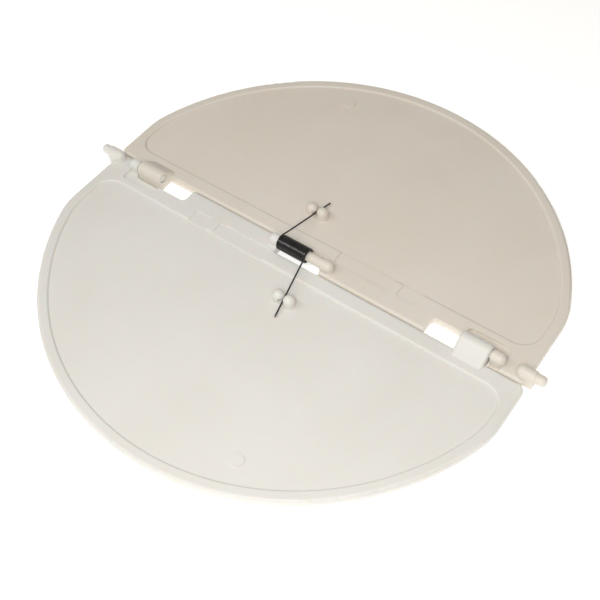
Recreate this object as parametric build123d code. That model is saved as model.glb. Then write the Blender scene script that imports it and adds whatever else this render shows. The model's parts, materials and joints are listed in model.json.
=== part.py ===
from build123d import *

import math
import os

# Two-flap non-return damper for a round duct of 150 mm, in millimetres.
# X runs along the hinge line, Y across it and Z up, towards the side with the spring.
# The origin is midway along the hinge line, on the plane that the closed flaps lie on.
# The two flaps are one moulding used twice: far_flap is near_flap turned half a turn about Z.

# Disc outline
disc_radius = 73.0
plain_end_cut = 2.5       # disc edge to the straight edge at the end without a stub axle
stub_end_cut = 3.3        # the same at the end that carries the stub axle
plan_corner = 2.0         # corners beside the hinge, seen from above
end_ease = 22.0           # easy curve between the disc's arc and each straight end

# Thickness and relief
rim_thickness = 2.6
rim_width = 3.1
strip_width = 7.4         # hinge axis to the inner edge of the thick hinge strip
recess_depth = 0.6        # panel below the rim, spring side
back_recess_depth = 0.3   # panel above the rim, flat side
recess_corner = 5.5
edge_round = 0.9          # outer edge of the rim, spring side
back_edge_round = 0.35
recess_round = 0.55

# Hinge line
seam_offset = 2.5         # the lip of each flap reaches this far past the hinge axis
seam_gap = 0.3
axis_rise = 1.4           # hinge axis above the top of the strip
pin_radius = 1.25
pin_clearance = 0.08      # radial, in the barrel
pin_tip_round = 0.5
pin_tip_setback = 0.3     # pin tip short of the barrel's inner face
pin_root_spread = 0.4     # root of the pin, larger than the pin
pin_root_length = 2.0     # straight stretch of the pin's root on the lip, before its round end
barrel_wall = 0.95
barrel_length = 8.8
barrel_side_gap = 0.4     # barrel to the strip beside it
barrel_end_round = 0.8
barrel_ramp = 5.0         # hinge axis to the foot of the slope that backs the barrel
end_play = 0.5
slide_room = 0.9          # spare length in the notch when the barrel slides off its pin
notch_setback = 10.2      # straight edge at the stub end to the notch
notch_corner = 1.4

# Stub axles
stub_reach = 1.2          # tip of the axle past the disc edge
stub_radius = 1.4
stub_tip_round = 0.8
stub_root_spread = 0.3    # root of the axle, larger than its free end
stub_root_length = 1.7    # straight stretch of the axle's root on the lip, before its round end
stub_web_reach = 1.7      # web under the axle, past the straight edge
web_floor = 0.5           # underside of the webs, roots and barrels on the hinge line

# Shallow pockets in the strip
step_depth = 0.3
step_edge = 2.9           # hinge axis to the nearer edge of the pockets
step_corner = 1.2
step_setback = 1.2        # spring window to the longer pocket
step_rib = 2.4            # between the two pockets
short_step_length = 6.3
short_step_setback = 5.6  # notch to the shorter pocket
relief_depth = 0.8
relief_edge = 5.3         # hinge axis to the far edge of the relief behind the barrel
relief_side = 3.2         # the relief reaches this far past the notch, towards the axle

# Spring window
window_half = 7.3
window_clearance = 0.85   # coil to the long edges of the window
mandrel_radius = 1.45
mandrel_gap = 0.8         # between the tips of the two mandrels
mandrel_tip_round = 0.5
mandrel_root_spread = 0.2 # root of the mandrel, larger than the mandrel
mandrel_root_margin = 0.1 # the root's round end stays this far behind the window's wall

# Torsion spring
wire_diameter = 0.45
coil_bore_clearance = 0.4 # radial, coil over mandrel
coil_turns = 20
coil_turn_gap = 0.02      # between neighbouring turns
coil_end_gap = 0.15       # coil to the window wall on its left
leg_reach = 20.6          # tip of each leg from the hinge axis
leg_bend = 3.0            # length of wire in the bend between the coil and each straight leg
leg_floor_gap = 0.12      # tip of each leg above the panel

# Split posts that hold the legs
post_x = 5.3
post_y = 15.1
post_radius = 1.65
post_cap = 1.9            # top of the domes above the wire
post_mouth = 0.2          # slot between the two domes, above the wire
wire_room = 0.35          # side and head room for the wire, below the mouth

# Ejector pips
pip_inset = 9.5           # disc edge to the middle of the pip
pip_bearing = 67.8        # degrees from the hinge line, at the end without a stub axle
pip_radius = 1.8
pip_height = 0.3

# Worked out from the sizes above
plain_end = disc_radius - plain_end_cut
stub_end = disc_radius - stub_end_cut
stub_tip = disc_radius + stub_reach
half_gap = seam_gap / 2
lip_edge = seam_offset - half_gap
body_edge = seam_offset + half_gap
axis_z = rim_thickness + axis_rise
panel_top = rim_thickness - recess_depth
bore_radius = pin_radius + pin_clearance
pin_root_radius = pin_radius + pin_root_spread
barrel_radius = bore_radius + barrel_wall
notch_end = stub_end - notch_setback
notch_start = notch_end - 2 * barrel_length - end_play - slide_room
notch_floor = barrel_radius + barrel_side_gap
barrel_outer = notch_end - end_play
barrel_inner = barrel_outer - barrel_length
stub_root_radius = stub_radius + stub_root_spread
mandrel_root_radius = mandrel_radius + mandrel_root_spread
short_step = (notch_start - short_step_setback - short_step_length, notch_start - short_step_setback)
long_step = (window_half + step_setback, short_step[0] - step_rib)
wire_radius = wire_diameter / 2
coil_pitch = wire_diameter + coil_turn_gap
coil_radius = mandrel_radius + coil_bore_clearance + wire_radius
window_edge = coil_radius + wire_radius + window_clearance
coil_left = -window_half + coil_end_gap + wire_radius
leg_tip_z = panel_top + leg_floor_gap + wire_radius
past_all = 4 * disc_radius  # larger than the part, for cutting tools


def block(x0, x1, y0, y1, z0, z1):
    """A box between two corners."""
    centre = Pos((x0 + x1) / 2, (y0 + y1) / 2, (z0 + z1) / 2)
    return centre * Box(x1 - x0, y1 - y0, z1 - z0)


def pocket(x0, x1, y0, y1, z0, z1, radius):
    """A box with rounded upright corners, for cutting."""
    outline = Pos((x0 + x1) / 2, (y0 + y1) / 2, z0) * RectangleRounded(x1 - x0, y1 - y0, radius)
    return extrude(outline, amount=z1 - z0)


def axle(x0, x1, radius, tip_round=0.0):
    """A round bar on the hinge axis from x0 to x1, with its x1 end rounded."""
    bar = Pos((x0 + x1) / 2, 0, axis_z) * Rot(0, 90, 0) * Cylinder(radius, abs(x1 - x0))
    if tip_round:
        ends = bar.edges().sort_by(Axis.X)
        bar = fillet(ends[0] if x1 < x0 else ends[-1], tip_round)
    return bar


def on_edge(shape, outline):
    """The edges of shape that lie on the edges of a flat outline."""
    return [edge for edge in shape.edges() if all(
        min(outline_edge.distance_to(edge @ share) for outline_edge in outline.edges()) < 0.001
        for share in (0.1, 0.5, 0.9)
    )]


def ease_ends(plan, radius, right, left):
    """Eases the two corners where the arc of a plan runs into its straight ends."""
    corners = [
        plan.vertices().sort_by_distance((x, -math.sqrt(radius ** 2 - x ** 2), 0))[0]
        for x in (right, left)
    ]
    return fillet(corners, end_ease)


def flap_plan():
    """The near flap from above: its share of the disc, with the lip that passes the hinge axis."""
    disc = Circle(disc_radius)
    body = Pos((plain_end - stub_end) / 2, -body_edge - past_all / 2) * Rectangle(
        plain_end + stub_end, past_all)
    lip = Pos(-(stub_end + window_half) / 2, (lip_edge - strip_width) / 2) * Rectangle(
        stub_end - window_half, lip_edge + strip_width)
    return ease_ends(disc & (body + lip), disc_radius, plain_end, -stub_end)


def recess_plan():
    """The thin panel from above, inside the rim and the hinge strip."""
    disc = Circle(disc_radius - rim_width)
    span = plain_end + stub_end - 2 * rim_width
    body = Pos((plain_end - stub_end) / 2, -strip_width - past_all / 2) * Rectangle(span, past_all)
    plan = ease_ends(
        disc & body, disc_radius - rim_width, plain_end - rim_width, -stub_end + rim_width)
    return fillet(plan.vertices().group_by(Axis.Y)[-1], recess_corner)


def flap_plate():
    """The flat moulding: rim, strip and panel, with its edges rounded."""
    plate = extrude(flap_plan(), amount=rim_thickness)
    uprights = plate.edges().filter_by(Axis.Z)
    seam_corners = [
        uprights.sort_by_distance((plain_end, -body_edge, rim_thickness / 2))[0],
        uprights.sort_by_distance((-stub_end, lip_edge, rim_thickness / 2))[0],
    ]
    plate = fillet(seam_corners, plan_corner)

    def outer_edges(level):
        """Edges of the outside of the disc on one face, without the straight seam edges."""
        return [edge for edge in plate.edges().group_by(Axis.Z)[level].filter_by(Axis.X, reverse=True)
                if abs(edge.center().X) > window_half + 1 or edge.center().Y < -strip_width]

    plate = fillet(outer_edges(-1), edge_round)
    plate = fillet(outer_edges(0), back_edge_round)

    front = Pos(0, 0, rim_thickness) * recess_plan()
    plate -= extrude(front, amount=-recess_depth)
    plate = fillet(on_edge(plate, front), recess_round)
    plate -= extrude(recess_plan(), amount=back_recess_depth)
    return plate


def strip_pockets():
    """Shallow pockets in the top of the strip, and the relief that clears the other flap's barrel."""
    tools = [
        pocket(-far, -near, -strip_width - step_corner, -step_edge,
               rim_thickness - step_depth, rim_thickness + 1, step_corner)
        for near, far in (long_step, short_step)
    ]
    tools.append(pocket(-notch_end - relief_side, -barrel_inner, -relief_edge, notch_floor,
                        rim_thickness - relief_depth, rim_thickness + 1, step_corner))
    return tools


def barrel_notch():
    """The opening in the lip where the other flap's barrel turns, with room to slide it on."""
    return pocket(-notch_end, -notch_start, -notch_floor, past_all,
                  -1, axis_z + past_all, notch_corner)


def spring_window():
    """Clearance for the coil between the two flaps."""
    return block(-window_half, window_half, -window_edge, past_all, -1, axis_z + past_all)


def barrel():
    """The barrel of the near flap, which turns on the far flap's pin, and the slope behind it.
    Below the bore its wall runs straight down."""
    foot = math.hypot(barrel_ramp, axis_rise)
    touch = math.pi + math.atan2(axis_rise, barrel_ramp) - math.acos(barrel_radius / foot)
    touch_y = barrel_radius * math.cos(touch)
    touch_z = axis_z + barrel_radius * math.sin(touch)
    side = Plane(origin=(barrel_inner, 0, 0), x_dir=(0, 1, 0), z_dir=(1, 0, 0))
    slope = Polygon(
        (touch_y, touch_z), (-barrel_ramp, rim_thickness), (-barrel_ramp, web_floor),
        (barrel_radius, web_floor), (barrel_radius, axis_z), align=None)
    profile = slope + Pos(0, axis_z) * Circle(barrel_radius)
    solid = extrude(side * profile, amount=barrel_length)
    ends = [edge for face in (solid.faces().sort_by(Axis.X)[0], solid.faces().sort_by(Axis.X)[-1])
            for edge in face.edges() if edge.center().Z > rim_thickness]
    return fillet(ends, barrel_end_round)


def axle_root(wall, centre, radius):
    """The root of a bar on the hinge axis: round on top, straight-sided down into the lip,
    flat at the wall and round about its other end's centre."""
    under = Pos(0, 0, web_floor) * (
        Pos((wall + centre) / 2, 0) * Rectangle(abs(wall - centre), 2 * radius)
        + Pos(centre, 0) * Circle(radius))
    top = axle(wall, centre, radius) + Pos(centre, 0, axis_z) * Sphere(radius)
    return top + extrude(under, amount=axis_z - web_floor)


def hinge_pin():
    """The pin in the near flap's notch, for the far flap's barrel, with its root on the lip."""
    tip = -barrel_inner - pin_tip_setback
    pin = axle(-notch_end - pin_root_length / 2, tip, pin_radius, pin_tip_round)
    return pin + axle_root(-notch_end, -notch_end - pin_root_length, pin_root_radius)


def mandrel():
    """The spigot inside the coil, moulded on the wall of the spring window."""
    centre = -window_half - mandrel_root_radius - mandrel_root_margin
    spigot = axle(centre, -mandrel_gap / 2, mandrel_radius, mandrel_tip_round)
    return spigot + axle_root(-window_half, centre, mandrel_root_radius)


def stub_axle():
    """The axle that turns in the duct wall, its root on the lip and the web beside it."""
    shoulder = -stub_end - stub_web_reach
    rod = axle(-stub_end, -stub_tip, stub_radius, stub_tip_round)
    root = axle_root(shoulder, -stub_end + stub_root_length, stub_root_radius)
    foot_y = -stub_root_radius - stub_web_reach
    web = Pos(0, 0, web_floor) * (
        Pos((shoulder - stub_end) / 2, foot_y / 2) * Rectangle(stub_web_reach, -foot_y)
        - Pos(shoulder, foot_y) * Circle(stub_web_reach))
    return rod + root + extrude(web, amount=rim_thickness - edge_round - web_floor)


def leg_line(side):
    """Where one spring leg leaves the coil and where it ends; side is -1 near, +1 far."""
    drop = axis_z - leg_tip_z
    reach = math.hypot(leg_reach, drop)
    above = math.acos(coil_radius / reach) - math.asin(drop / reach)
    start_y = side * coil_radius * math.cos(above)
    start_z = axis_z + coil_radius * math.sin(above)
    return start_y, start_z, above


def leg_height_at_post():
    """Height of the wire's centre where it passes the post."""
    start_y, start_z, _ = leg_line(1)
    share = (post_y - start_y) / (leg_reach - start_y)
    return start_z + share * (leg_tip_z - start_z)


def leg_post():
    """The split post: two domes with a narrow mouth over a wider channel for the wire."""
    pitch = post_mouth / 2 + post_radius
    wire_z = leg_height_at_post()
    shaft = wire_z + wire_radius + post_cap - panel_top - post_radius
    post = Pos(post_x - pitch, -post_y, panel_top + shaft / 2) * Cylinder(post_radius, shaft)
    post += Pos(post_x - pitch, -post_y, panel_top + shaft) * Sphere(post_radius)
    post += Pos(2 * pitch, 0, 0) * post
    start_y, start_z, _ = leg_line(1)
    slope = (start_z - leg_tip_z) / (leg_reach - start_y)
    sweep_side = 2 * post_radius * post_x / post_y
    room = wire_diameter + wire_room + sweep_side
    head = wire_diameter + wire_room + 2 * post_radius * slope
    channel = block(post_x - room / 2, post_x + room / 2, -post_y - 2 * post_radius,
                    -post_y + 2 * post_radius, wire_z - head / 2, wire_z + head / 2)
    floor = block(-past_all, past_all, -past_all, past_all, panel_top - back_recess_depth, past_all)
    return (post & floor) - channel


def ejector_pip():
    """A low round pip on the panel."""
    pip_x = (disc_radius - pip_inset) * math.cos(math.radians(pip_bearing))
    pip_y = (disc_radius - pip_inset) * math.sin(math.radians(pip_bearing))
    return Pos(pip_x, -pip_y, panel_top + pip_height / 2) * Cylinder(pip_radius, pip_height)


def flap():
    """The whole near flap."""
    moulding = flap_plate()
    for tool in strip_pockets():
        moulding -= tool
    moulding -= barrel_notch()
    moulding -= spring_window()
    for piece in (barrel(), hinge_pin(), mandrel(), stub_axle(), leg_post()):
        moulding += piece
    moulding += ejector_pip()
    moulding -= axle(barrel_inner - 1, barrel_outer + 1, bore_radius)
    return moulding


def torsion_spring():
    """One wire: far leg, close-wound coil and near leg, with an easy bend between coil and leg."""
    start_y, start_z, above = leg_line(1)
    turns = coil_turns + (math.pi - 2 * above) / (2 * math.pi)
    coil_length = turns * coil_pitch
    coil_plane = Plane(origin=(coil_left, 0, axis_z), x_dir=(0, 1, 0), z_dir=(1, 0, 0))
    runs = round(turns)
    run = coil_length / runs
    coil = [
        coil_plane * Pos(0, 0, i * run) * Rot(0, 0, math.degrees(above) + 360 * turns * i / runs)
        * Helix(coil_pitch, run, coil_radius)
        for i in range(runs)
    ]
    far_side = coil[0] @ 0
    near_side = coil[-1] @ 1
    coil_right = coil_left + coil_length
    past_post = (leg_reach - start_y) / (post_y - start_y)
    far_tip = Vector(coil_left + (-post_x - coil_left) * past_post, leg_reach, leg_tip_z)
    near_tip = Vector(coil_right + (post_x - coil_right) * past_post, -leg_reach, leg_tip_z)
    far_way = (far_side - far_tip).normalized()
    near_way = (near_tip - near_side).normalized()
    far_leg = Line(far_tip, far_side - far_way * leg_bend)
    far_bend = Spline(far_leg @ 1, far_side, tangents=(far_way, coil[0] % 0))
    near_bend = Spline(near_side, near_side + near_way * leg_bend, tangents=(coil[-1] % 1, near_way))
    near_leg = Line(near_bend @ 1, near_tip)
    section = Plane(origin=far_tip, z_dir=far_way) * Circle(wire_radius)
    return sweep(section, path=Wire([far_leg, far_bend, *coil, near_bend, near_leg]))


def write(part, node):
    """Write one node to its STEP file."""
    part.label = node
    export_step(part, "parts/" + node + ".step")


os.makedirs("parts", exist_ok=True)
near_flap = flap()
write(near_flap, "near_flap")
write(Rot(0, 0, 180) * near_flap, "far_flap")
write(torsion_spring(), "torsion_spring")
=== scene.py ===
import json
import math

import bpy
from bpy.props import FloatProperty, FloatVectorProperty, IntProperty, PointerProperty
from mathutils import Matrix, Vector


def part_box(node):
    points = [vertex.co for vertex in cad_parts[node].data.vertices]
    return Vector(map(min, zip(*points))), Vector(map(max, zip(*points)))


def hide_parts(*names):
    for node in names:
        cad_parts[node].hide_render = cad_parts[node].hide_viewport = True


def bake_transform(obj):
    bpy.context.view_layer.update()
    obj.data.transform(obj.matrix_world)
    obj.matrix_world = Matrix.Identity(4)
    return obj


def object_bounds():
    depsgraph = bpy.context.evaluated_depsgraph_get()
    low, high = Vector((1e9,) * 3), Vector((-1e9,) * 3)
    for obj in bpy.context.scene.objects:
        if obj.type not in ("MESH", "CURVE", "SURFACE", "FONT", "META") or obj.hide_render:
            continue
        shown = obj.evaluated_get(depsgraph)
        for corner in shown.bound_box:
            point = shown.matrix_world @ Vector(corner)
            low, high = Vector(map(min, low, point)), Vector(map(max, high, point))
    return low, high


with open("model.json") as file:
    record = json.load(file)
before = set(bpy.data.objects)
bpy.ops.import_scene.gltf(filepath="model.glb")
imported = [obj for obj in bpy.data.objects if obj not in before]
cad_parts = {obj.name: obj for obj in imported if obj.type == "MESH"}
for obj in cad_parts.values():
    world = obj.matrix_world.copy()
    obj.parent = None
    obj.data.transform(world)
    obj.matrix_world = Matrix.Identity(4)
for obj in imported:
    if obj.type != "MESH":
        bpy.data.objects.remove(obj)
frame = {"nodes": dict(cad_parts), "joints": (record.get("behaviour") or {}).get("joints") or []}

bl_info = {
    "name": "Two-flap duct damper",
    "version": (1, 0, 0),
    "blender": (4, 5, 0),
    "location": "3D View > Sidebar > Damper",
    "description": "Finishes, torsion spring and stage for a two-flap non-return duct damper",
    "category": "Object",
}

MM = 0.001
CAD_LOW, CAD_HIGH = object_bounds()
SPRING_LOW, SPRING_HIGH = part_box("torsion_spring")
HINGE = next(joint for joint in frame["joints"] if joint["name"] == "flap_hinge")
AXIS_Z = HINGE["pos_m"][2]

TIP_OVERHANG = 0.2    # a leg's cut end passes its middle by this share of the wire's radius
CUT_ROUNDING = 0.3    # length of the rounding at a cut end, in radii of the wire
CUT_FACE = 0.7        # radius of the flat left at a cut end, in radii of the wire
FLOOR_SPANS = 20      # half the floor's width, in lengths of the damper
FLOOR_GAP = 0.02 * MM
TENT_STRENGTH = 0.38

# Softboxes: name, place, length along the hinge, width and power.
SOFTBOXES = (
    ("Key_softbox", (0.09, -0.14, 0.20), 0.13, 0.13, 0.30),
    ("Strip_along_hinge", (-0.19, -0.23, 0.40), 0.50, 0.015, 0.60),
)


def linear(hex_code):
    """An sRGB hex colour as the linear values that shaders use."""
    values = [int(hex_code[i:i + 2], 16) / 255 for i in (0, 2, 4)]
    return tuple(v / 12.92 if v <= 0.04045 else ((v + 0.055) / 1.055) ** 2.4 for v in values)


class DamperFlapSettings(bpy.types.PropertyGroup):
    """Finish of the two flaps."""

    near_colour: FloatVectorProperty(
        name="Near flap", description="Plastic of the near flap", subtype="COLOR",
        size=3, min=0.0, max=1.0, default=linear("EAE9E5"))
    # The far flap's colour is the near flap's plastic made darker and warmer: painted shade for the
    # dimmer light on the far flap.
    far_colour_painted_shade: FloatVectorProperty(
        name="Far flap", description="Plastic of the far flap", subtype="COLOR",
        size=3, min=0.0, max=1.0, default=linear("E7E1D7"))
    roughness: FloatProperty(
        name="Roughness", description="Satin of the mould's surface", subtype="FACTOR",
        min=0.05, max=1.0, default=0.42)
    grain: FloatProperty(
        name="Grain size", description="Width of one grain of the satin", subtype="DISTANCE",
        unit="LENGTH", min=0.0001, max=0.01, default=0.0007)
    flow_marks: FloatProperty(
        name="Flow mark size", description="Width of the cloudy marks of the melt's flow",
        subtype="DISTANCE", unit="LENGTH", min=0.005, max=0.1, default=0.028)


class DamperSpringSettings(bpy.types.PropertyGroup):
    """Sizes and finish of the torsion spring."""

    wire: FloatProperty(
        name="Wire diameter", description="Diameter of the spring wire", subtype="DISTANCE",
        unit="LENGTH", min=0.0001, max=0.002, default=0.00045)
    pitch: FloatProperty(
        name="Pitch", description="Advance of the coil in one turn", subtype="DISTANCE",
        unit="LENGTH", min=0.0001, max=0.005, default=0.00047)
    turns: IntProperty(
        name="Turns", description="Whole turns of the coil", min=2, max=60, default=20)
    tip_height: FloatProperty(
        name="Tip height", description="Middle of the wire at the tip of each leg, above the floor",
        subtype="DISTANCE", unit="LENGTH", min=0.0, max=0.01, default=0.002345)
    post_x: FloatProperty(
        name="Post along the hinge", description="Split post from the middle, along the hinge",
        subtype="DISTANCE", unit="LENGTH", min=0.0, max=0.05, default=0.0053)
    post_y: FloatProperty(
        name="Post across the hinge", description="Split post from the hinge axis",
        subtype="DISTANCE", unit="LENGTH", min=0.0, max=0.05, default=0.0151)
    bend: FloatProperty(
        name="Bend", description="Length of the bend between the coil and a leg",
        subtype="DISTANCE", unit="LENGTH", min=0.0005, max=0.01, default=0.003)
    colour: FloatVectorProperty(
        name="Wire colour", description="Oil-blackened steel", subtype="COLOR",
        size=3, min=0.0, max=1.0, default=linear("6A6B6E"))


class DamperStageSettings(bpy.types.PropertyGroup):
    """Floor, light and camera."""

    floor_colour: FloatVectorProperty(
        name="Floor", description="Plain pale floor", subtype="COLOR",
        size=3, min=0.0, max=1.0, default=linear("F7F7F6"))
    azimuth: FloatProperty(
        name="Azimuth", description="Camera round the object, from the near side", subtype="ANGLE",
        default=math.radians(39.97))
    elevation: FloatProperty(
        name="Elevation", description="Camera above the floor", subtype="ANGLE",
        default=math.radians(53.35))
    roll: FloatProperty(
        name="Roll", description="Turn of the camera about its own view", subtype="ANGLE",
        default=math.radians(-4.69))
    distance: FloatProperty(
        name="Distance", description="Camera to the point that it looks at", subtype="DISTANCE",
        unit="LENGTH", min=0.05, max=2.0, default=0.2472)
    target: FloatVectorProperty(
        name="Target", description="Point that the camera looks at", subtype="TRANSLATION",
        size=3, default=(0.00897, -0.01282, 0.00315))
    lens: FloatProperty(
        name="Lens", description="Focal length on a 36 mm sensor", subtype="DISTANCE_CAMERA",
        min=10.0, max=300.0, default=55.9)


def add_node(tree, kind, inputs=None, **settings):
    """Adds a node with its settings, and sets or links its inputs."""
    made = tree.nodes.new(kind)
    for name, value in settings.items():
        setattr(made, name, value)
    for name, value in (inputs or {}).items():
        if isinstance(value, bpy.types.NodeSocket):
            tree.links.new(value, made.inputs[name])
        else:
            made.inputs[name].default_value = value
    return made


def new_material(name):
    """An empty node material and its tree."""
    material = bpy.data.materials.new(name)
    material.use_nodes = True
    material.node_tree.nodes.clear()
    return material, material.node_tree


def finish_with(material, colour, surface):
    """Gives the material its surface, and its colour in the plain 3D view."""
    out = add_node(material.node_tree, "ShaderNodeOutputMaterial", {"Surface": surface})
    out.is_active_output = True
    material.diffuse_color = (*colour, 1.0)
    return material


def moulded_polypropylene(name, colour, settings, seed):
    """Ivory polypropylene, injection moulded in a satin-finished mould.

    It gives the eye a warm, slightly milky white that lets a little light in, a broad soft sheen,
    cloudy marks where the melt flowed, a fine satin grain, a few dark specks and faint rub marks.
    """
    material, tree = new_material(name)
    place = add_node(tree, "ShaderNodeTexCoord").outputs["Object"]
    moved = add_node(tree, "ShaderNodeMapping", {"Vector": place, "Location": (seed, seed / 3, 0)})
    place = moved.outputs["Vector"]

    # Cloudy flow marks, a few centimetres wide and hardly darker than the plastic.
    flow = add_node(tree, "ShaderNodeTexNoise", {
        "Vector": place, "Scale": 1 / settings.flow_marks, "Detail": 3.0, "Roughness": 0.55,
        "Distortion": 0.6})
    flow_share = add_node(tree, "ShaderNodeMapRange", {
        "Value": flow.outputs["Fac"], "From Min": 0.35, "From Max": 0.7, "To Min": 0.0,
        "To Max": 0.5}).outputs["Result"]
    deeper = tuple(c * k for c, k in zip(colour, (0.95, 0.93, 0.89)))
    clouded = add_node(tree, "ShaderNodeMix", {"Factor": flow_share}, data_type="RGBA")
    # Socket names repeat on this node, so its colour sockets are set by place.
    clouded.inputs[6].default_value = (*colour, 1.0)
    clouded.inputs[7].default_value = (*deeper, 1.0)

    # Dark specks of burnt plastic, about 0.35 mm wide and 14 mm apart.
    specks = add_node(tree, "ShaderNodeTexVoronoi", {
        "Vector": place, "Scale": 1 / (14 * MM), "Randomness": 1.0})
    speck_share = add_node(tree, "ShaderNodeMapRange", {
        "Value": specks.outputs["Distance"], "From Min": 0.010, "From Max": 0.022, "To Min": 0.35,
        "To Max": 0.0}).outputs["Result"]
    speckled = add_node(tree, "ShaderNodeMix", {"Factor": speck_share}, data_type="RGBA")
    tree.links.new(clouded.outputs[2], speckled.inputs[6])
    speckled.inputs[7].default_value = (*linear("6B5B47"), 1.0)

    # Rub marks: streaks 0.5 mm wide and 12 mm long that shine a little more.
    streaks_at = add_node(tree, "ShaderNodeMapping", {
        "Vector": place, "Rotation": (0, 0, math.radians(34)),
        "Scale": (1 / (12 * MM), 1 / (0.5 * MM), 1 / (12 * MM))})
    streaks = add_node(tree, "ShaderNodeTexNoise", {
        "Vector": streaks_at.outputs["Vector"], "Scale": 1.0, "Detail": 2.0, "Roughness": 0.5})
    roughness = add_node(tree, "ShaderNodeMapRange", {
        "Value": streaks.outputs["Fac"], "From Min": 0.3, "From Max": 0.75,
        "To Min": settings.roughness + 0.04, "To Max": settings.roughness - 0.08}).outputs["Result"]

    # Satin grain, and the slow waviness of a thin moulding that has shrunk unevenly.
    grain = add_node(tree, "ShaderNodeTexNoise", {
        "Vector": place, "Scale": 1 / settings.grain, "Detail": 2.0, "Roughness": 0.6})
    waves = add_node(tree, "ShaderNodeTexNoise", {
        "Vector": place, "Scale": 1 / (30 * MM), "Detail": 1.0, "Roughness": 0.4})
    wavy = add_node(tree, "ShaderNodeBump", {
        "Height": waves.outputs["Fac"], "Strength": 0.35, "Distance": 0.5 * MM})
    grained = add_node(tree, "ShaderNodeBump", {
        "Height": grain.outputs["Fac"], "Normal": wavy.outputs["Normal"], "Strength": 0.25,
        "Distance": 0.03 * MM})

    surface = add_node(tree, "ShaderNodeBsdfPrincipled", {
        "Base Color": speckled.outputs[2], "Roughness": roughness, "IOR": 1.49,
        "Normal": grained.outputs["Normal"], "Subsurface Weight": 0.25,
        "Subsurface Radius": (1.0, 0.72, 0.45), "Subsurface Scale": 1.6 * MM})
    return finish_with(material, colour, surface.outputs["BSDF"])


def blackened_spring_steel(colour):
    """Spring steel wire, drawn, coiled and blackened in oil.

    It gives the eye a near-black metal with a thin line of light along the top of the coil,
    fine draw marks along the wire and slightly browner, duller patches.
    """
    material, tree = new_material("Spring_steel_drawn_oil_blackened")
    along = add_node(tree, "ShaderNodeTexCoord").outputs["UV"]

    # Draw marks run along the wire: 0.05 mm apart round it, and 6 mm long.
    marks_at = add_node(tree, "ShaderNodeMapping", {
        "Vector": along, "Scale": (1 / (0.05 * MM), 1 / (6 * MM), 1.0)})
    marks = add_node(tree, "ShaderNodeTexNoise", {
        "Vector": marks_at.outputs["Vector"], "Scale": 1.0, "Detail": 2.0, "Roughness": 0.5})
    patches_at = add_node(tree, "ShaderNodeTexCoord").outputs["Object"]
    patches = add_node(tree, "ShaderNodeTexNoise", {
        "Vector": patches_at, "Scale": 1 / (1.5 * MM), "Detail": 3.0, "Roughness": 0.6})
    brown = add_node(tree, "ShaderNodeMix", {"Factor": patches.outputs["Fac"]}, data_type="RGBA")
    brown.inputs[6].default_value = (*colour, 1.0)
    brown.inputs[7].default_value = (*linear("3A3430"), 1.0)
    roughness = add_node(tree, "ShaderNodeMapRange", {
        "Value": patches.outputs["Fac"], "From Min": 0.3, "From Max": 0.7, "To Min": 0.12,
        "To Max": 0.22}).outputs["Result"]
    drawn = add_node(tree, "ShaderNodeBump", {
        "Height": marks.outputs["Fac"], "Strength": 0.2, "Distance": 0.01 * MM})
    surface = add_node(tree, "ShaderNodeBsdfPrincipled", {
        "Base Color": brown.outputs[2], "Metallic": 1.0, "Roughness": roughness,
        "Normal": drawn.outputs["Normal"]})
    return finish_with(material, colour, surface.outputs["BSDF"])


def sheet_floor(colour):
    """White acrylic sheet, satin, lit a little from below as on a light table.

    It gives the eye a plain pale ground with a soft shadow that never turns dark.
    """
    material, tree = new_material("Acrylic_sheet_satin_white")
    place = add_node(tree, "ShaderNodeTexCoord").outputs["Object"]
    cloud = add_node(tree, "ShaderNodeTexNoise", {
        "Vector": place, "Scale": 1 / (80 * MM), "Detail": 2.0, "Roughness": 0.5})
    dimmer = tuple(c * 0.985 for c in colour)
    tone = add_node(tree, "ShaderNodeMix", {"Factor": cloud.outputs["Fac"]}, data_type="RGBA")
    tone.inputs[6].default_value = (*colour, 1.0)
    tone.inputs[7].default_value = (*dimmer, 1.0)
    surface = add_node(tree, "ShaderNodeBsdfPrincipled", {
        "Base Color": tone.outputs[2], "Roughness": 0.6, "IOR": 1.49,
        "Emission Color": (1.0, 1.0, 1.0, 1.0), "Emission Strength": 0.45})
    return finish_with(material, colour, surface.outputs["BSDF"])


def give_material(item, material):
    """Makes material the only one on the object."""
    item.data.materials.clear()
    item.data.materials.append(material)


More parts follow.
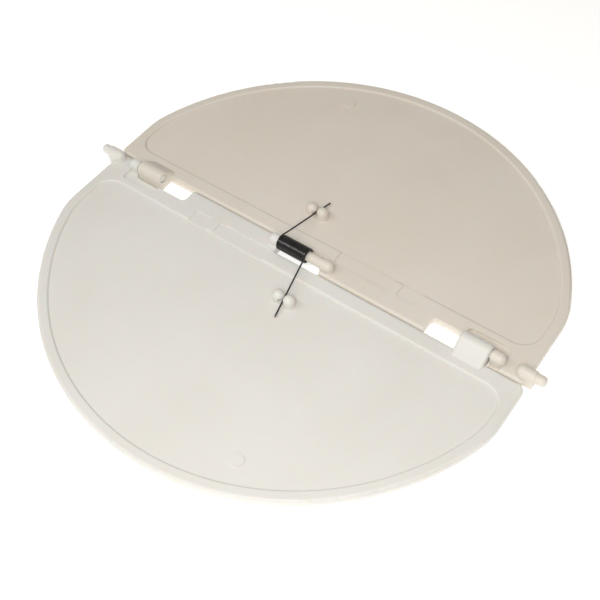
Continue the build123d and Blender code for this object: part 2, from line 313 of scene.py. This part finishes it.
def spring_line(settings, steps_a_turn=28, bend_steps=8):
    """The middle line of the wire: far leg, bend, close-wound coil, bend and near leg."""
    wire_radius = settings.wire / 2
    radius = SPRING_HIGH.z - AXIS_Z - wire_radius
    reach = SPRING_HIGH.y - wire_radius * TIP_OVERHANG
    drop = AXIS_Z - settings.tip_height
    span = math.hypot(reach, drop)
    above = math.acos(radius / span) - math.asin(drop / span)
    turned = 2 * math.pi * settings.turns + math.pi - 2 * above
    left = SPRING_LOW.x + wire_radius
    count = int(steps_a_turn * turned / (2 * math.pi))

    def on_coil(share):
        angle = above + turned * share
        return Vector((left + settings.pitch * turned / (2 * math.pi) * share,
                       radius * math.cos(angle), AXIS_Z + radius * math.sin(angle)))

    coil = [on_coil(i / count) for i in range(count + 1)]
    past = (reach - coil[0].y) / (settings.post_y - coil[0].y)
    far_tip = Vector((left + (-settings.post_x - left) * past, reach, settings.tip_height))
    right = coil[-1].x
    near_tip = Vector((right + (settings.post_x - right) * past, -reach, settings.tip_height))

    def leg(end, tip, heading):
        """Points from the coil's end to the tip: a smooth bend, then a straight leg."""
        way = (tip - end).normalized()
        foot = end + way * settings.bend
        points = []
        for i in range(1, bend_steps + 1):
            t = i / bend_steps
            start_pull = (2 * t ** 3 - 3 * t ** 2 + 1, t ** 3 - 2 * t ** 2 + t)
            end_pull = (-2 * t ** 3 + 3 * t ** 2, t ** 3 - t ** 2)
            points.append(end * start_pull[0] + heading * (settings.bend * start_pull[1])
                          + foot * end_pull[0] + way * (settings.bend * end_pull[1]))
        length = (tip - foot).length
        runs = max(2, int(length / MM))
        points += [foot + way * (length * i / runs) for i in range(1, runs + 1)]
        return points

    far_leg = leg(coil[0], far_tip, (coil[0] - coil[1]).normalized())
    near_leg = leg(coil[-1], near_tip, (coil[-1] - coil[-2]).normalized())
    return list(reversed(far_leg)) + coil + near_leg, far_tip, near_tip, right


def sweep_wire(name, line, radius, sides=14):
    """A round wire along a line of points, with its cut ends slightly rounded over."""
    vertices, faces, marks = [], [], []
    heading = (line[1] - line[0]).normalized()
    across = heading.orthogonal().normalized()
    travelled = 0.0
    rings = []
    for i, point in enumerate(line):
        before = line[max(i - 1, 0)]
        after = line[min(i + 1, len(line) - 1)]
        new_heading = (after - before).normalized()
        across = heading.rotation_difference(new_heading) @ across
        across = (across - new_heading * across.dot(new_heading)).normalized()
        heading = new_heading
        travelled += (point - before).length
        rings.append((point, heading, across, travelled, 1.0))
    rounding = radius * CUT_ROUNDING
    point, heading, across, travelled, _ = rings[0]
    rings[0] = (point + heading * rounding, heading, across, travelled, 1.0)
    rings.insert(0, (point, heading, across, travelled - rounding, CUT_FACE))
    point, heading, across, travelled, _ = rings[-1]
    rings[-1] = (point - heading * rounding, heading, across, travelled, 1.0)
    rings.append((point, heading, across, travelled + rounding, CUT_FACE))

    for point, heading, across, travelled, share in rings:
        side = heading.cross(across)
        for k in range(sides):
            angle = 2 * math.pi * k / sides
            vertices.append(point + (across * math.cos(angle) + side * math.sin(angle)) * radius * share)
    for i in range(len(rings) - 1):
        for k in range(sides):
            a, b = i * sides + k, i * sides + (k + 1) % sides
            faces.append((a, b, b + sides, a + sides))
            around = (k * 2 * math.pi * radius / sides, (k + 1) * 2 * math.pi * radius / sides)
            along = (rings[i][3], rings[i + 1][3])
            marks.append(((around[0], along[0]), (around[1], along[0]),
                          (around[1], along[1]), (around[0], along[1])))
    last = (len(rings) - 1) * sides
    faces.append(tuple(reversed(range(sides))))
    faces.append(tuple(range(last, last + sides)))
    marks += [((0.0, 0.0),) * sides] * 2

    mesh = bpy.data.meshes.new(name)
    mesh.from_pydata(vertices, [], faces)
    mesh.shade_smooth()
    for face in mesh.polygons[-2:]:
        face.use_smooth = False
    uv = mesh.uv_layers.new(name="Along_the_wire")
    for face, corners in zip(mesh.polygons, marks):
        for loop, corner in zip(face.loop_indices, corners):
            uv.data[loop].uv = corner
    wire = bpy.data.objects.new(name, mesh)
    bpy.context.scene.collection.objects.link(wire)
    return wire


class DAMPER_OT_flaps(bpy.types.Operator):
    """Give both flaps their moulded plastic"""

    bl_idname = "damper.flaps"
    bl_label = "Finish the flaps"
    bl_options = {"REGISTER", "UNDO"}

    def execute(self, context):
        settings = context.scene.damper_flaps
        # The far flap's material holds painted shade: its colour is a darker, warmer copy of the near
        # flap's plastic.
        near = moulded_polypropylene(
            "Polypropylene_ivory_moulded_near", tuple(settings.near_colour), settings, 0.0)
        far = moulded_polypropylene(
            "Polypropylene_ivory_moulded_far_painted_shade", tuple(settings.far_colour_painted_shade), settings, 0.31)
        give_material(frame["nodes"]["near_flap"], near)
        give_material(frame["nodes"]["far_flap"], far)
        return {"FINISHED"}


class DAMPER_OT_spring(bpy.types.Operator):
    """Wind the torsion spring in place of the CAD model's plain spring"""

    bl_idname = "damper.spring"
    bl_label = "Wind the spring"
    bl_options = {"REGISTER", "UNDO"}

    def execute(self, context):
        settings = context.scene.damper_spring
        line, far_tip, near_tip, right = spring_line(settings)
        wire = sweep_wire("torsion_spring_wire", line, settings.wire / 2)
        give_material(wire, blackened_spring_steel(tuple(settings.colour)))
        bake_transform(wire)
        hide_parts("torsion_spring")
        return {"FINISHED"}


class DAMPER_OT_stage(bpy.types.Operator):
    """Lay the floor, hang the lights and place the camera"""

    bl_idname = "damper.stage"
    bl_label = "Set the stage"
    bl_options = {"REGISTER", "UNDO"}

    def execute(self, context):
        settings = context.scene.damper_stage
        self.lay_floor(context, settings)
        self.light_world(context)
        for name, place, length, width, power in SOFTBOXES:
            self.hang_light(context, name, place, length, width, power)
        self.place_camera(context, settings)
        return {"FINISHED"}

    def lay_floor(self, context, settings):
        """A wide sheet just under the object."""
        half = FLOOR_SPANS * (CAD_HIGH.x - CAD_LOW.x)
        level = CAD_LOW.z - FLOOR_GAP
        mesh = bpy.data.meshes.new("Floor")
        mesh.from_pydata(
            [(-half, -half, level), (half, -half, level), (half, half, level), (-half, half, level)],
            [], [(0, 1, 2, 3)])
        floor = bpy.data.objects.new("Floor", mesh)
        context.scene.collection.objects.link(floor)
        give_material(floor, sheet_floor(tuple(settings.floor_colour)))

    def light_world(self, context):
        """Even light from all round, as in a white tent."""
        world = bpy.data.worlds.new("White_tent")
        world.use_nodes = True
        world.node_tree.nodes.clear()
        glow = add_node(world.node_tree, "ShaderNodeBackground", {
            "Color": (*linear("FBF6EE"), 1.0), "Strength": TENT_STRENGTH})
        add_node(world.node_tree, "ShaderNodeOutputWorld", {"Surface": glow.outputs["Background"]})
        context.scene.world = world

    def hang_light(self, context, name, place, length, width, power):
        """A softbox that faces the middle of the object, with its length along the hinge."""
        lamp = bpy.data.lights.new(name, "AREA")
        lamp.shape = "RECTANGLE"
        lamp.size = length
        lamp.size_y = width
        lamp.energy = power
        item = bpy.data.objects.new(name, lamp)
        item.location = place
        item.rotation_mode = "QUATERNION"
        facing = Vector(place).normalized()
        along = (Vector((1, 0, 0)) - facing * facing.x).normalized()
        item.rotation_quaternion = Matrix(
            (along, facing.cross(along), facing)).transposed().to_quaternion()
        context.scene.collection.objects.link(item)

    def place_camera(self, context, settings):
        """Looks down on the flaps from beside the hinge line."""
        azimuth, elevation = settings.azimuth, settings.elevation
        back = Vector((math.sin(azimuth) * math.cos(elevation),
                       -math.cos(azimuth) * math.cos(elevation), math.sin(elevation)))
        right = Vector((0, 0, 1)).cross(back).normalized()
        right = Matrix.Rotation(settings.roll, 3, back) @ right
        up = back.cross(right)
        camera_data = bpy.data.cameras.new("Camera")
        camera_data.lens = settings.lens
        camera_data.sensor_width = 36.0
        camera_data.clip_start = 0.01
        camera = bpy.data.objects.new("Camera", camera_data)
        camera.rotation_mode = "QUATERNION"
        camera.rotation_quaternion = Matrix((right, up, back)).transposed().to_quaternion()
        camera.location = Vector(settings.target) + back * settings.distance
        context.scene.collection.objects.link(camera)
        context.scene.camera = camera
        context.scene.view_settings.view_transform = "Standard"
        context.scene.view_settings.look = "None"


class DAMPER_PT_sidebar(bpy.types.Panel):
    """Lists the damper's pieces and their settings"""

    bl_idname = "DAMPER_PT_sidebar"
    bl_label = "Duct damper"
    bl_space_type = "VIEW_3D"
    bl_region_type = "UI"
    bl_category = "Damper"

    def draw(self, context):
        scene = context.scene
        parts = (
            (scene.damper_flaps, "damper.flaps"),
            (scene.damper_spring, "damper.spring"),
            (scene.damper_stage, "damper.stage"),
        )
        for settings, operator in parts:
            box = self.layout.box()
            for name in settings.__annotations__:
                box.prop(settings, name)
            box.operator(operator)


SETTINGS = {
    "damper_flaps": DamperFlapSettings,
    "damper_spring": DamperSpringSettings,
    "damper_stage": DamperStageSettings,
}
CLASSES = (
    *SETTINGS.values(), DAMPER_OT_flaps, DAMPER_OT_spring, DAMPER_OT_stage, DAMPER_PT_sidebar,
)


def register():
    for kind in CLASSES:
        bpy.utils.register_class(kind)
    for name, kind in SETTINGS.items():
        setattr(bpy.types.Scene, name, PointerProperty(type=kind))


def unregister():
    for name in SETTINGS:
        delattr(bpy.types.Scene, name)
    for kind in reversed(CLASSES):
        bpy.utils.unregister_class(kind)


def main():
    """Builds the looks piece by piece."""
    register()
    bpy.ops.damper.flaps()
    bpy.ops.damper.spring()
    bpy.ops.damper.stage()


if __name__ == "__main__":
    main()
